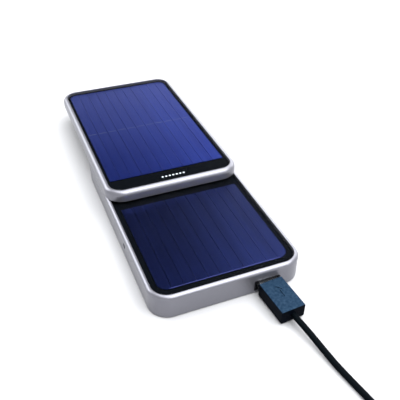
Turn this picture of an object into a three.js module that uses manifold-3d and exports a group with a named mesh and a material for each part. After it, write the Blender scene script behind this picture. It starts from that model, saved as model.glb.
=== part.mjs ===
// Pocket solar phone charger with two solar panels. The lower body holds a panel, the battery, the
// charging electronics and two sockets. The upper body is a second panel that slides on it along Y.
// Units are millimetres. +Z is up, +Y points from the socket end to the back, and Z is 0 on the table.
// The model stands with the upper panel slid fully open.
import * as THREE from 'three';
import { mergeVertices } from 'three/addons/utils/BufferGeometryUtils.js';
import Module from 'manifold-3d';

// Driving dimensions
const WIDTH = 72; // both bodies
const LENGTH = 120.5; // both bodies
const TRAVEL = 69.2; // slide travel, closed to open
const CORNER_R = 9.5; // plan corners of both bodies
const CORNER_STEPS = 6;
const FOOT_H = 0.45;
const COVER_Z = [0.5, 1.6]; // bottom cover, set inside the wall
const BASE_Z = [0.3, 12.3]; // base side wall
const SLIDE_GAP = 0.35;
const UPPER_H = 5.9;
const BASE_EDGE_R = 1.93; // rounding between wall and window
const UPPER_EDGE_R = 2.6;
const WALL = 2;
const EDGE_STEPS = 4;
const FIT = 0.1; // gap round a window or a board
const WINDOW_T = 0.9;
const CELL_T = 0.25;
const BOARD_T = 0.65;

// Positions worked out from them
const HALF_W = WIDTH / 2;
const HALF_L = LENGTH / 2;
const BASE_Y = -TRAVEL / 2;
const SLIDER_Y = TRAVEL / 2;
const UPPER_Z = [BASE_Z[1] + SLIDE_GAP, BASE_Z[1] + SLIDE_GAP + UPPER_H];
const LEDGE_Z = BASE_Z[1] - 2.1; // the base panel rests here
const ROOF_Z = [UPPER_Z[0] + 2.55, UPPER_Z[0] + 3.65]; // plate under the upper panel
const PANEL_END_Y = 14.6; // back end of the base window, in base coordinates
const BASE_CELLS = { halfX: 31, y: [-54.2, 5.3], rounding: 5, strips: 11 };
const UPPER_CELLS = { halfX: 31.5, y: [-46.6, 55.4], rounding: 4, strips: 11 };

// Sockets
const SOCKET = { x: 17.05, z: 4.12, w: 11.2, h: 4.9, depth: 9, recess: 1.1 };
const OPENING = { halfX: 6.3, z: [1.25, 7.35] }; // in the front wall, round the socket
const BEZEL = { setback: 0.4, lip: 0.77, depth: 1.6, halfX: 5.25, halfZ: 2.05 }; // lip close to the plug
const JACK = { y: -16.5, z: 7.2, holeR: 1.5, boreR: 1.35, size: [8.5, 7, 4.9] };
const BOARD_Z = [3.7, 4.7]; // main board

// Fasteners
const POST = { x: 30.6, y: 50.5, size: 5.5 };
const CASE_SCREW = { headR: 2, headH: 0.6, shankR: 0.95, length: 7 };
const SHOE_SCREW = { headR: 1.8, headH: 0.55, shankR: 0.8, length: 2.9 };
const RAIL_SCREW = { headR: 1.3, headH: 0.45, shankR: 0.6, length: 1.4 };
const CLEARANCE = 0.3;

// Slide
const SHOE = { y: [18.6, 52.6], neckX: 12.75, flangeX: 17.05, flangeZ: [1, 1.7] };
const RAIL = { innerX: 13, outerX: 17.9, gauge: 0.55, height: 2.25, y: [-52, 54] };
const SLOT = { halfX: 18.2, y: [-52.8, 54.8] };
const BUMPER_T = 1.8;

// Plug and cord, in assembly coordinates. The plug sits askew in its socket, turned about a point in it
const PLUG = { w: 11.6, h: 6.8, y: [-96.6, -115.2], edge: 0.5, bevel: 0.35, turn: 4.3, pivotY: -90.8 };
const PLUG_SHELL = { w: 9.6, h: 3.75, wall: 0.4, tipY: -88 };
const CORD_R = 1.35;
const CORD_SIDES = 8;
const COIL = { x: 7.45, y: -182, meanR: 15.5, width: 10.8, height: 5.7 };
const FAR_PLUG = { w: 15.7, h: 7.9, length: 21, shellW: 12, shellH: 4.5, shellL: 15, start: [3, -211.9] };
const CORD_ROUTE = [
  [18.9, -115.43, 4.12],
  [19.3, -119, 4.08],
  [20.05, -123.5, 3.75],
  [20.95, -129, 3.1],
  [21.9, -135, 2.3],
  [23, -142, 1.6],
  [24.3, -149.5, 1.36],
  [25.7, -157.5, 1.36],
  [27, -165.5, 1.36],
  [28.1, -172.8, 1.36],
];
const TAIL_ROUTE = [
  [25.72, -195.2, 2.6],
  [25.2, -199.5, 1.7],
  [23.4, -203.8, 1.4],
  [20.2, -207.6, 1.4],
  [15.8, -210.3, 1.9],
  [11, -211.6, 3],
  [6.8, -211.9, 3.85],
  [3.3, -211.9, 3.97],
];

// Finishes
const finish = (color, roughness, metalness) =>
  new THREE.MeshStandardMaterial({ color, roughness, metalness });
const silver = finish(0xb8bac4, 0.25, 1);
const glass = finish(0x1a2040, 0.05, 0);
const cellBlue = finish(0x27307a, 0.3, 0.2);
const panelBlack = finish(0x08080b, 0.25, 0);
const blackPlastic = finish(0x111216, 0.45, 0);
const steel = finish(0x9a9da3, 0.35, 1);
const brass = finish(0xc8a24a, 0.3, 1);
const rubber = finish(0x151515, 0.85, 0);
const foil = finish(0xa8adb5, 0.4, 0.7);
const boardGreen = finish(0x14532b, 0.5, 0);
const ferrite = finish(0x2b2b2e, 0.6, 0.1);
const slate = finish(0x24364a, 0.5, 0);
const cordBlack = finish(0x060a16, 0.55, 0);
const platedSteel = finish(0xc9ccd2, 0.2, 1);

// Booleans
const wasm = await Module();
wasm.setup();

function toSolid(geometry) {
  const bare = geometry.clone();
  bare.deleteAttribute('normal');
  bare.deleteAttribute('uv');
  const merged = mergeVertices(bare, 1e-4);
  const vertProperties = new Float32Array(merged.attributes.position.array);
  const triVerts = new Uint32Array(merged.index.array);
  return new wasm.Manifold(new wasm.Mesh({ numProp: 3, vertProperties, triVerts }));
}

function toGeometry(solid) {
  const mesh = solid.getMesh();
  const geometry = new THREE.BufferGeometry();
  geometry.setAttribute('position', new THREE.BufferAttribute(mesh.vertProperties, 3));
  geometry.setIndex(new THREE.BufferAttribute(mesh.triVerts, 1));
  return geometry;
}

function cut(geometry, tools) {
  return toGeometry(tools.reduce((solid, tool) => solid.subtract(toSolid(tool)), toSolid(geometry)));
}

function join(geometry, additions) {
  return toGeometry(additions.reduce((solid, piece) => solid.add(toSolid(piece)), toSolid(geometry)));
}

// Basic shapes
function block(x, y, z) {
  const geometry = new THREE.BoxGeometry(x[1] - x[0], y[1] - y[0], z[1] - z[0]);
  return geometry.translate((x[0] + x[1]) / 2, (y[0] + y[1]) / 2, (z[0] + z[1]) / 2);
}

function taper(bottomR, topR, x, y, z, sides) {
  const geometry = new THREE.CylinderGeometry(topR, bottomR, z[1] - z[0], sides);
  return geometry.rotateX(Math.PI / 2).translate(x, y, (z[0] + z[1]) / 2);
}

function disc(radius, x, y, z, sides = 16) {
  return taper(radius, radius, x, y, z, sides);
}

function outline(inset) {
  const r = CORNER_R - inset;
  const corners = [[1, 1], [-1, 1], [-1, -1], [1, -1]];
  return corners.flatMap(([sx, sy], corner) => {
    const centre = [sx * (HALF_W - CORNER_R), sy * (HALF_L - CORNER_R)];
    return Array.from({ length: CORNER_STEPS + 1 }, (_, i) => {
      const angle = (corner + i / CORNER_STEPS) * (Math.PI / 2);
      return [centre[0] + r * Math.cos(angle), centre[1] + r * Math.sin(angle)];
    });
  });
}

// A solid with the rounded plan of the bodies: each level is [inset from the plan, z], bottom first
function stack(levels) {
  const rings = levels.map(([inset]) => outline(inset));
  const n = rings[0].length;
  const positions = rings.flatMap((ring, k) => ring.flatMap(([x, y]) => [x, y, levels[k][1]]));
  const last = levels.length - 1;
  positions.push(0, 0, levels[0][1], 0, 0, levels[last][1]);
  const bottomCentre = n * levels.length;
  const faces = [];
  for (let i = 0; i < n; i += 1) {
    const j = (i + 1) % n;
    for (let k = 0; k < last; k += 1) {
      const [a, b, c, d] = [k * n + i, k * n + j, (k + 1) * n + j, (k + 1) * n + i];
      faces.push(a, b, c, a, c, d);
    }
    faces.push(bottomCentre, j, i, bottomCentre + 1, last * n + i, last * n + j);
  }
  const geometry = new THREE.BufferGeometry();
  geometry.setAttribute('position', new THREE.Float32BufferAttribute(positions, 3));
  geometry.setIndex(faces);
  return geometry;
}

function roundedTop(bottomZ, topZ, edgeR, bottomEdge) {
  const levels = [[bottomEdge, bottomZ], [0, bottomZ + bottomEdge]];
  for (let i = 0; i <= EDGE_STEPS; i += 1) {
    const angle = (i / EDGE_STEPS) * (Math.PI / 2);
    levels.push([edgeR * (1 - Math.cos(angle)), topZ - edgeR * (1 - Math.sin(angle))]);
  }
  return levels;
}

// A rectangle whose front and back corners have their own radii
function plan(halfX, y, frontR, backR) {
  const shape = new THREE.Shape();
  const corners = [
    [-halfX + frontR, y[0] + frontR, frontR, Math.PI],
    [halfX - frontR, y[0] + frontR, frontR, 1.5 * Math.PI],
    [halfX - backR, y[1] - backR, backR, 0],
    [-halfX + backR, y[1] - backR, backR, 0.5 * Math.PI],
  ];
  corners.forEach(([cx, cy, r, start], i) => {
    if (i === 0) shape.moveTo(cx - r, cy);
    if (r > 0) shape.absarc(cx, cy, r, start, start + Math.PI / 2, false);
    else shape.lineTo(cx, cy);
  });
  shape.closePath();
  return shape;
}

function plate(shape, z) {
  const options = { depth: z[1] - z[0], bevelEnabled: false, curveSegments: CORNER_STEPS };
  return new THREE.ExtrudeGeometry(shape, options).translate(0, 0, z[0]);
}

// An outline in X and Z, carried along Y
function bar(points, y) {
  const shape = new THREE.Shape(points.map(([x, z]) => new THREE.Vector2(x, z)));
  const geometry = new THREE.ExtrudeGeometry(shape, { depth: y[1] - y[0], bevelEnabled: false });
  return geometry.rotateX(Math.PI / 2).translate(0, y[1], 0);
}

function screw({ headR, headH, shankR, length }, socketDepth) {
  const points = [
    [0, socketDepth],
    [headR * 0.45, socketDepth],
    [headR * 0.45, 0],
    [headR * 0.9, 0],
    [headR, headH * 0.3],
    [headR, headH * 0.6],
    [shankR, headH],
    [shankR, length - shankR],
    [0, length],
  ];
  const profile = points.map(([r, z]) => new THREE.Vector2(r, z));
  return new THREE.LatheGeometry(profile, 10).rotateX(Math.PI / 2);
}

function piece(name, geometry, material) {
  const mesh = new THREE.Mesh(geometry, material);
  mesh.name = name;
  return mesh;
}

// Solar cells: a slab with a groove between each two strips
function cellSlab({ halfX, y, rounding, strips }, z, frontRounded) {
  const [frontR, backR] = frontRounded ? [rounding, 0] : [0, rounding];
  const slab = plate(plan(halfX, y, frontR, backR), z);
  const pitch = (2 * halfX) / strips;
  const grooves = [];
  for (let i = 1; i < strips; i += 1) {
    const x = -halfX + i * pitch;
    grooves.push(block([x - 0.15, x + 0.15], [y[0] - 1, y[1] + 1], [z[1] - 0.1, z[1] + 1]));
  }
  return cut(slab, grooves);
}

const fourCorners = [[-1, -1], [1, -1], [-1, 1], [1, 1]];

// Base casing
function baseShell() {
  const outer = stack(roundedTop(BASE_Z[0], BASE_Z[1], BASE_EDGE_R, 0.25));
  const recess = stack([[BASE_EDGE_R, LEDGE_Z], [BASE_EDGE_R, BASE_Z[1] + 1]]);
  const ledgeHole = stack([[3.6, LEDGE_Z - 1], [3.6, LEDGE_Z + 0.5]]);
  const inside = stack([[WALL, BASE_Z[0] - 1], [WALL, LEDGE_Z - 2.6], [3.6, LEDGE_Z - 1]]);
  const walls = cut(outer, [recess, ledgeHole, inside]);
  const half = POST.size / 2;
  const posts = fourCorners.map(([sx, sy]) => {
    const x = [sx * (POST.x - half), sx * (HALF_W - 1.5)].sort((a, b) => a - b);
    return block(x, [sy * POST.y - half, sy * POST.y + half], [COVER_Z[1] + 0.1, LEDGE_Z - 0.9]);
  });
  const screwHoles = fourCorners.map(([sx, sy]) =>
    disc(CASE_SCREW.shankR + CLEARANCE, sx * POST.x, sy * POST.y, [0, CASE_SCREW.length + 1.4], 10));
  const socketX = [SOCKET.x - OPENING.halfX, SOCKET.x + OPENING.halfX];
  const socketHole = block(socketX, [-HALF_L - 1, -HALF_L + 4], OPENING.z);
  const jackHole = new THREE.CylinderGeometry(JACK.holeR, JACK.holeR, 6, 16);
  jackHole.rotateZ(Math.PI / 2).translate(-HALF_W, JACK.y, JACK.z);
  const jackPocket = block([-HALF_W + WALL, -28], [JACK.y - 4, JACK.y + 4], [BOARD_Z[0], LEDGE_Z - 0.4]);
  const holes = [...screwHoles, socketHole, jackHole, jackPocket];
  return piece('base_shell', cut(join(walls, posts), holes), silver);
}

function bottomCover() {
  const body = stack([[WALL + FIT, COVER_Z[0]], [WALL + FIT, COVER_Z[1]]]);
  const bossTop = BOARD_Z[0] - 0.05;
  const bosses = [[-24, -52], [8, -52], [-28, -14], [28, -14]].map(([x, y]) =>
    disc(2, x, y, [COVER_Z[0] + 0.6, bossTop], 12));
  const holes = fourCorners.flatMap(([sx, sy]) => [
    disc(CASE_SCREW.shankR + CLEARANCE, sx * POST.x, sy * POST.y, [0, 3], 10),
    disc(CASE_SCREW.headR + CLEARANCE, sx * POST.x, sy * POST.y, [0, COVER_Z[0] + 0.75]),
  ]);
  return piece('bottom_cover', cut(join(body, bosses), holes), blackPlastic);
}

function rearDeck() {
  const inset = BASE_EDGE_R + FIT;
  const shape = plan(HALF_W - inset, [PANEL_END_Y + CLEARANCE, HALF_L - inset], 0, CORNER_R - inset);
  const deck = plate(shape, [LEDGE_Z + 0.05, BASE_Z[1] - 0.05]);
  const holes = shoeScrewPlaces().map(([x, y]) => disc(SHOE_SCREW.shankR + CLEARANCE, x, y, [9, 13], 10));
  return piece('rear_deck', cut(deck, holes), blackPlastic);
}

function caseScrews() {
  return fourCorners.map(([sx, sy], i) => {
    const mesh = piece(`case_screw_${i + 1}`, screw(CASE_SCREW, 0.35), steel);
    mesh.position.set(sx * POST.x, sy * POST.y, COVER_Z[0] + 0.1);
    return mesh;
  });
}

function feet() {
  return fourCorners.map(([sx, sy], i) =>
    piece(`foot_${i + 1}`, disc(3.6, sx * 23.5, sy * 49.5, [0, FOOT_H]), rubber));
}

// Base panel
function basePanel() {
  const inset = BASE_EDGE_R + FIT;
  const shape = plan(HALF_W - inset, [-HALF_L + inset, PANEL_END_Y], CORNER_R - inset, 0);
  const top = BASE_Z[1] - 0.05;
  const cellBottom = LEDGE_Z + 0.05 + BOARD_T + 0.05;
  const cells = cellSlab(BASE_CELLS, [cellBottom, cellBottom + CELL_T], true);
  return [
    piece('base_window', plate(shape, [top - WINDOW_T, top]), glass),
    piece('base_cells', cells, cellBlue),
    piece('base_cell_board', plate(shape, [LEDGE_Z + 0.05, LEDGE_Z + 0.05 + BOARD_T]), panelBlack),
  ];
}

// Battery and electronics in the base
function battery() {
  const bottom = COVER_Z[1] + 0.05;
  const cell = plate(plan(26.5, [-3.4, 46], 2, 2), [bottom, bottom + 6.7]);
  const guard = block([-20, 20], [-7.6, -3.6], [4.2, 5.2]);
  return [
    piece('battery_cell', cell, foil),
    piece('battery_protection_board', guard, boardGreen),
  ];
}

function mainBoard() {
  const front = -57.7;
  const shape = new THREE.Shape();
  const notch = [SOCKET.x - SOCKET.w / 2 - CLEARANCE, SOCKET.x + SOCKET.w / 2 + CLEARANCE];
  const notchEnd = front + 8;
  const path = [
    [-26.8, front], [notch[0], front], [notch[0], notchEnd], [notch[1], notchEnd], [notch[1], front],
    [26.8, front], [26.8, -46.5], [33.4, -46.5], [33.4, -9.4], [-33.4, -9.4], [-33.4, -46.5],
    [-26.8, -46.5],
  ];
  path.forEach(([x, y], i) => (i ? shape.lineTo(x, y) : shape.moveTo(x, y)));
  shape.closePath();
  return piece('main_board', plate(shape, BOARD_Z), boardGreen);
}

function boardComponents() {
  const z = BOARD_Z[1] + 0.05;
  const on = (x, y, w, d, h) => block([x - w / 2, x + w / 2], [y - d / 2, y + d / 2], [z, z + h]);
  return [
    piece('boost_inductor', disc(4.2, 2, -30, [z, z + 4.2], 16), ferrite),
    piece('output_capacitor', disc(3.1, 17, -34, [z, z + 5], 16), foil),
    piece('boost_converter_chip', on(4, -43, 5, 4, 1.4), blackPlastic),
    piece('charge_controller_chip', on(-15, -33, 6, 6, 1.3), blackPlastic),
    piece('blocking_diode', on(-17, -22, 4.6, 2.8, 2.1), blackPlastic),
    piece('battery_connector', on(8, -13.5, 8, 5.4, 3.8), finish(0xe8e4d8, 0.5, 0)),
  ];
}

function outputSocket() {
  const { x, z, w, h, depth, recess } = SOCKET;
  const mouth = -HALF_L + recess + 0.15;
  const body = block([x - w / 2, x + w / 2], [mouth, mouth + depth], [z - h / 2, z + h / 2]);
  const wall = 0.28;
  const hollow = block(
    [x - w / 2 + wall, x + w / 2 - wall],
    [mouth - 1, mouth + depth - wall],
    [z - h / 2 + wall, z + h / 2 - wall],
  );
  const halfBezel = OPENING.halfX - 0.15;
  const bezelZ = [OPENING.z[0] + 0.15, OPENING.z[1] - 0.15];
  const face = -HALF_L + BEZEL.setback;
  const bezel = block([x - halfBezel, x + halfBezel], [face, face + BEZEL.depth], bezelZ);
  const gap = 0.08;
  const bezelHole = block(
    [x - BEZEL.halfX, x + BEZEL.halfX],
    [face - 1, face + BEZEL.depth + 1],
    [z - BEZEL.halfZ, z + BEZEL.halfZ],
  );
  const socketPocket = block(
    [x - w / 2 - gap, x + w / 2 + gap],
    [face + BEZEL.lip, face + BEZEL.depth + 1],
    [z - h / 2 - gap, z + h / 2 + gap],
  );
  return [
    piece('output_socket', cut(body, [hollow]), platedSteel),
    piece('socket_bezel', cut(bezel, [bezelHole, socketPocket]), blackPlastic),
  ];
}

function inputJack() {
  const [w, d, h] = JACK.size;
  const x = [-HALF_W + WALL + 0.2, -HALF_W + WALL + 0.2 + w];
  const body = block(x, [JACK.y - d / 2, JACK.y + d / 2], [BOARD_Z[1] + 0.05, BOARD_Z[1] + 0.05 + h]);
  const bore = new THREE.CylinderGeometry(JACK.boreR, JACK.boreR, 2 * w - 3, 14);
  bore.rotateZ(Math.PI / 2).translate(x[0], JACK.y, JACK.z);
  return piece('input_jack', cut(body, [bore]), blackPlastic);
}

// Slide shoe on the rear deck
function shoeScrewPlaces() {
  const y = [SHOE.y[0] + 5, SHOE.y[1] - 5];
  return [-8.5, 8.5].flatMap((x) => y.map((yy) => [x, yy]));
}

function slideShoe() {
  const bottom = BASE_Z[1];
  const [low, high] = SHOE.flangeZ.map((z) => BASE_Z[1] + SLIDE_GAP + z);
  const half = [
    [SHOE.neckX, bottom], [SHOE.neckX, low], [SHOE.flangeX, low], [SHOE.flangeX, high],
  ];
  const mirrored = half.map(([x, z]) => [-x, z]).reverse();
  const holes = shoeScrewPlaces().flatMap(([x, y]) => [
    disc(SHOE_SCREW.shankR + CLEARANCE, x, y, [bottom - 1, high + 1], 10),
    disc(SHOE_SCREW.headR + CLEARANCE, x, y, [high - 0.85, high + 1]),
  ]);
  return piece('slide_shoe', cut(bar([...half, ...mirrored], SHOE.y), holes), steel);
}

function shoeScrews() {
  const top = BASE_Z[1] + SLIDE_GAP + SHOE.flangeZ[1];
  return shoeScrewPlaces().map(([x, y], i) => {
    const mesh = piece(`shoe_screw_${i + 1}`, screw(SHOE_SCREW, 0.3), steel);
    mesh.rotation.x = Math.PI;
    mesh.position.set(x, y, top - 0.1);
    return mesh;
  });
}

// Bowed leaf, fixed on the shoe and rising towards the roof of the channel
function leaf(name, x, width, length, rise, material) {
  const z = BASE_Z[1] + SLIDE_GAP + SHOE.flangeZ[1] + 0.05;
  const middle = (SHOE.y[0] + SHOE.y[1]) / 2;
  const thickness = 0.15;
  const steps = 8;
  const crown = (t) => rise * Math.sin(Math.PI * t) ** 2;
  const lower = Array.from({ length: steps + 1 }, (_, i) => [i / steps, crown(i / steps)]);
  const upper = lower.map(([t, h]) => [t, h + thickness]).reverse();
  const points = [...lower, ...upper].map(([t, h]) => new THREE.Vector2((t - 0.5) * length, h));
  const strip = new THREE.ExtrudeGeometry(new THREE.Shape(points), { depth: width, bevelEnabled: false });
  strip.rotateX(Math.PI / 2).rotateZ(Math.PI / 2);
  return piece(name, strip.translate(x - width / 2, middle, z), material);
}

// Upper body
function upperShell() {
  const outer = stack(roundedTop(UPPER_Z[0], UPPER_Z[1], UPPER_EDGE_R, 0.35));
  const recess = stack([[UPPER_EDGE_R, ROOF_Z[1]], [UPPER_EDGE_R, UPPER_Z[1] + 1]]);
  const underside = stack([[WALL, UPPER_Z[0] - 1], [WALL, ROOF_Z[0]]]);
  const holes = railScrewPlaces().map(([x, y]) =>
    disc(RAIL_SCREW.shankR + 0.15, x, y, [ROOF_Z[0] - 1, ROOF_Z[1] - 0.1], 10));
  return piece('upper_shell', cut(outer, [recess, underside, ...holes]), silver);
}

function upperBackCover() {
  const inset = WALL + FIT;
  const shape = plan(HALF_W - inset, [-HALF_L + inset, HALF_L - inset], CORNER_R - inset, CORNER_R - inset);
  const cover = plate(shape, [UPPER_Z[0] + 0.1, UPPER_Z[0] + 0.8]);
  const slot = block([-SLOT.halfX, SLOT.halfX], SLOT.y, [UPPER_Z[0] - 1, UPPER_Z[0] + 2]);
  return piece('upper_back_cover', cut(cover, [slot]), blackPlastic);
}

function upperPanel() {
  const inset = UPPER_EDGE_R + FIT;
  const shape = plan(HALF_W - inset, [-HALF_L + inset, HALF_L - inset], CORNER_R - inset, CORNER_R - inset);
  const top = UPPER_Z[1] - 0.05;
  const boardBottom = ROOF_Z[1] + 0.05;
  const cellBottom = boardBottom + BOARD_T + 0.05;
  const cells = cellSlab(UPPER_CELLS, [cellBottom, cellBottom + CELL_T], false);
  return [
    piece('upper_window', plate(shape, [top - WINDOW_T, top]), glass),
    piece('upper_cells', cells, cellBlue),
    piece('upper_cell_board', plate(shape, [boardBottom, boardBottom + BOARD_T]), panelBlack),
  ];
}

// Rails and what else is in the channel of the upper body
function railScrewPlaces() {
  const x = (RAIL.innerX + RAIL.outerX) / 2 - 0.4;
  return [-x, x].flatMap((xx) => [-40, 42].map((y) => [xx, y]));
}

function rail(name, side) {
  const top = ROOF_Z[0] - 0.08;
  const bottom = top - RAIL.height;
  const { innerX, outerX, gauge } = RAIL;
  const section = [
    [innerX, bottom], [outerX, bottom], [outerX, top], [innerX, top],
    [innerX, top - gauge], [outerX - gauge, top - gauge], [outerX - gauge, bottom + gauge],
    [innerX, bottom + gauge],
  ];
  const points = side > 0 ? section : section.map(([x, z]) => [-x, z]).reverse();
  const [headR, shankR] = [RAIL_SCREW.headR + 0.15, RAIL_SCREW.shankR + 0.15];
  const [underside, seat] = [top - gauge, top - gauge + RAIL_SCREW.headH - 0.08];
  const holes = railScrewPlaces().flatMap(([x, y]) => [
    disc(headR, x, y, [underside - 0.5, seat], 12),
    taper(headR, shankR, x, y, [seat, top + 0.01], 12),
  ]);
  return piece(name, cut(bar(points, RAIL.y), holes), steel);
}

function railScrews() {
  const top = ROOF_Z[0] - 0.08;
  return railScrewPlaces().map(([x, y], i) => {
    const mesh = piece(`rail_screw_${i + 1}`, screw(RAIL_SCREW, 0.2), steel);
    mesh.position.set(x, y, top - RAIL.gauge + 0.05);
    return mesh;
  });
}

function contactTrack(name, x) {
  const z = [ROOF_Z[0] - 0.2, ROOF_Z[0] - 0.05];
  return piece(name, block([x - 1.5, x + 1.5], [RAIL.y[0] + 3, RAIL.y[1] - 3], z), brass);
}

// The shoe stops 0.3 mm short of a bumper at each end of the travel
function bumpers() {
  const shoeFront = SHOE.y[0] + BASE_Y - SLIDER_Y;
  const shoeBack = SHOE.y[1] + BASE_Y - SLIDER_Y + TRAVEL;
  const z = [UPPER_Z[0] + 0.9, ROOF_Z[0] - 0.05];
  const span = [-6.5, 6.5];
  return [
    piece('open_bumper', block(span, [shoeFront - CLEARANCE - BUMPER_T, shoeFront - CLEARANCE], z), rubber),
    piece('closed_bumper', block(span, [shoeBack + CLEARANCE, shoeBack + CLEARANCE + BUMPER_T], z), rubber),
  ];
}

// Plug, cord and coil
function roundedBar(w, h, edge, bevel, length) {
  const [a, b] = [w / 2 - bevel, h / 2 - bevel];
  const shape = new THREE.Shape();
  const corners = [[1, 1, 0], [-1, 1, 1], [-1, -1, 2], [1, -1, 3]];
  corners.forEach(([sx, sy, turn], i) => {
    const start = (turn * Math.PI) / 2;
    const [cx, cy] = [sx * (a - edge), sy * (b - edge)];
    if (i === 0) shape.moveTo(cx + edge, cy);
    shape.absarc(cx, cy, edge, start, start + Math.PI / 2, false);
  });
  shape.closePath();
  const options = {
    depth: length - 2 * bevel,
    bevelEnabled: bevel > 0,
    bevelSize: bevel,
    bevelThickness: bevel,
    bevelSegments: 2,
    curveSegments: 3,
  };
  return new THREE.ExtrudeGeometry(shape, options).translate(0, 0, bevel);
}

function plug() {
  const length = PLUG.y[0] - PLUG.y[1];
  const body = roundedBar(PLUG.w, PLUG.h, PLUG.edge, PLUG.bevel, length);
  body.rotateX(Math.PI / 2).translate(SOCKET.x, PLUG.y[0], SOCKET.z);
  const askew = (geometry) => geometry
    .translate(-SOCKET.x, -PLUG.pivotY, 0)
    .rotateZ(THREE.MathUtils.degToRad(PLUG.turn))
    .translate(SOCKET.x, PLUG.pivotY, 0);
  const { w, h, wall, tipY } = PLUG_SHELL;
  const spanX = (half) => [SOCKET.x - half, SOCKET.x + half];
  const spanZ = (half) => [SOCKET.z - half, SOCKET.z + half];
  const tube = block(spanX(w / 2), [PLUG.y[0] + 0.05, tipY], spanZ(h / 2));
  const hollow = block(spanX(w / 2 - wall), [PLUG.y[0] + 1.5, tipY + 1], spanZ(h / 2 - wall));
  return [
    piece('plug_body', askew(body), slate),
    piece('plug_shell', askew(cut(tube, [hollow])), platedSteel),
  ];
}

function tube(name, route, steps) {
  const curve = new THREE.CatmullRomCurve3(route.map((p) => new THREE.Vector3(...p)), false, 'centripetal');
  const section = new THREE.Shape();
  for (let i = 0; i < CORD_SIDES; i += 1) {
    const angle = ((i + 0.5) / CORD_SIDES) * 2 * Math.PI;
    const [x, y] = [CORD_R * Math.cos(angle), CORD_R * Math.sin(angle)];
    if (i === 0) section.moveTo(x, y);
    else section.lineTo(x, y);
  }
  section.closePath();
  return piece(name, new THREE.ExtrudeGeometry(section, { steps, extrudePath: curve }), cordBlack);
}

function coil() {
  const { x, y, meanR, width, height } = COIL;
  const [inner, outer] = [meanR - width / 2, meanR + width / 2];
  const chamfer = 1.3;
  const profile = [
    [inner + chamfer, 0], [outer - chamfer, 0], [outer, chamfer], [outer, 2 * CORD_R],
    [outer - chamfer, height], [inner + chamfer, height], [inner, 2 * CORD_R], [inner, chamfer],
    [inner + chamfer, 0],
  ];
  const ring = new THREE.LatheGeometry(profile.map(([r, z]) => new THREE.Vector2(r, z)), 32);
  return piece('cord_coil', ring.rotateX(Math.PI / 2).translate(x, y, 0), cordBlack);
}

// The tie saddles the coil on the side away from the charger
function cordTie() {
  const { x, y, meanR, width, height } = COIL;
  const [half, thick, gap] = [3, 0.6, 0.3];
  const [inner, outer] = [y - meanR + width / 2 + gap + 0.5, y - meanR - width / 2 - gap];
  const outside = block([x - half, x + half], [outer - thick, inner + thick], [0.02, height + gap + thick]);
  const inside = block([x - half - 1, x + half + 1], [outer, inner], [-1, height + gap]);
  return piece('cord_tie', cut(outside, [inside]), blackPlastic);
}

function farPlug() {
  const { w, h, length, shellW, shellH, shellL, start } = FAR_PLUG;
  const z = h / 2 + 0.02;
  const body = roundedBar(w, h, 1.2, 0.6, length).rotateX(Math.PI / 2).rotateZ(-Math.PI / 2);
  body.translate(start[0], start[1], z);
  const shellX = [start[0] - length - shellL, start[0] - length - 0.05];
  const around = (centre, half) => [centre - half, centre + half];
  const shell = block(shellX, around(start[1], shellW / 2), around(z, shellH / 2));
  const wall = 0.35;
  const hollow = block(
    [shellX[0] - 1, shellX[1] - 1.5],
    around(start[1], shellW / 2 - wall),
    around(z, shellH / 2 - wall),
  );
  return [
    piece('far_plug_body', body, slate),
    piece('far_plug_shell', cut(shell, [hollow]), platedSteel),
  ];
}

// Assembly
const base = new THREE.Group();
base.position.y = BASE_Y;
base.add(
  baseShell(), bottomCover(), rearDeck(), ...caseScrews(), ...feet(), ...basePanel(), ...battery(),
  mainBoard(), ...boardComponents(), ...outputSocket(), inputJack(), slideShoe(), ...shoeScrews(),
  leaf('detent_spring', 0, 5, 14, 0.35, steel),
  leaf('contact_spring_left', -4.6, 2.2, 12, 0.3, brass),
  leaf('contact_spring_right', 4.6, 2.2, 12, 0.3, brass),
);

const slider = new THREE.Group();
slider.position.y = SLIDER_Y;
slider.add(
  upperShell(), upperBackCover(), ...upperPanel(), rail('rail_left', -1), rail('rail_right', 1),
  ...railScrews(), contactTrack('contact_track_left', -4.6), contactTrack('contact_track_right', 4.6),
  ...bumpers(),
);

const lead = new THREE.Group();
lead.add(
  ...plug(), tube('charge_cord', CORD_ROUTE, 11), coil(), cordTie(), tube('cord_tail', TAIL_ROUTE, 7),
  ...farPlug(),
);

const charger = new THREE.Group();
charger.add(base, slider, lead);
export default charger;
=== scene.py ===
"""Looks of the sliding solar phone charger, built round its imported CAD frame.

Lengths are millimetres in the row frame: +X right, +Y to the back, +Z up, Z = 0 on the table.
They are turned into metres where a mesh, a texture or a bevel is made.
"""

import math

import bmesh
import bpy
from mathutils import Matrix, Vector

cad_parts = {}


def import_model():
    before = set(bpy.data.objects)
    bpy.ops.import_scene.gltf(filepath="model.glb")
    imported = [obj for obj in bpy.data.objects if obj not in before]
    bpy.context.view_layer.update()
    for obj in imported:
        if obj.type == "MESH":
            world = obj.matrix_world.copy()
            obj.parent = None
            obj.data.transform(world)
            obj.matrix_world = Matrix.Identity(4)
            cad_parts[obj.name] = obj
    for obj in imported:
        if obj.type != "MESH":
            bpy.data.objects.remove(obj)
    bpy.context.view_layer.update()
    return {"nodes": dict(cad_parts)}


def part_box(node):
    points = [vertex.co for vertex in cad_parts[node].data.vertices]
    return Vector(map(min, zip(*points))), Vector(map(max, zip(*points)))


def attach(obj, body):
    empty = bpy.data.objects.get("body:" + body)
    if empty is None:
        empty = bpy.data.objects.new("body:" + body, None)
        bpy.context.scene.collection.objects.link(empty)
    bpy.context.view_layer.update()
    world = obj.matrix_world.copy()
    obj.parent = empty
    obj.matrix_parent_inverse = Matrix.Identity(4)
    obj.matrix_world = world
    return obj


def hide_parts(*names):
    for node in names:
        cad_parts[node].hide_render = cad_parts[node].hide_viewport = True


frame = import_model()
nodes = frame["nodes"]
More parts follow.
